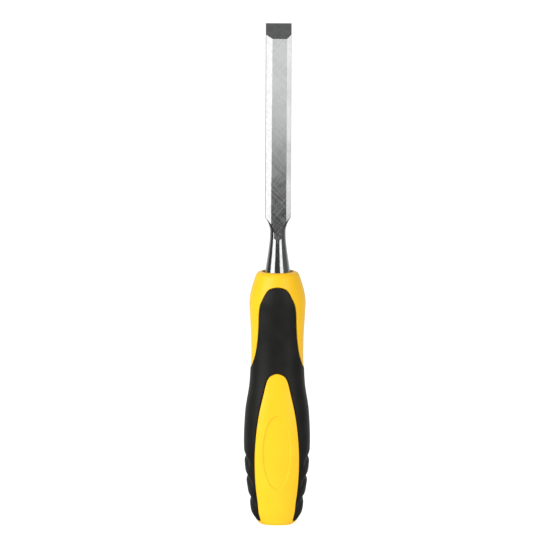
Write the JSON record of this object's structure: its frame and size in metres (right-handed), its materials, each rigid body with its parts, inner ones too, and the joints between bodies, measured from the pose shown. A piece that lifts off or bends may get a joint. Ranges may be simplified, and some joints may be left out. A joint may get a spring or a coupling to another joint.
{
  "type": "bench chisel",
  "caption": "Bevel-edge bench chisel with a forged steel blade and tang, a hard moulded handle body and a soft overmoulded grip.",
  "frame": {"origin": "centre of the flat strike face at the handle's end", "axes": "+Z along the tool from the strike face to the cutting edge, -Y towards the bevelled front of the blade, +Y towards its flat back"},
  "size_m": [0.0308, 0.0262, 0.236],
  "materials": {
    "steel": "ground and polished, fine diagonal grinding marks",
    "hard_plastic": "semi-gloss yellow moulding",
    "soft_grip": "matt black soft-touch overmould"
  },
  "bodies": {
    "root": {"blade": "steel", "handle_body": "hard_plastic", "soft_grip": "soft_grip"}
  },
  "joints": []
}
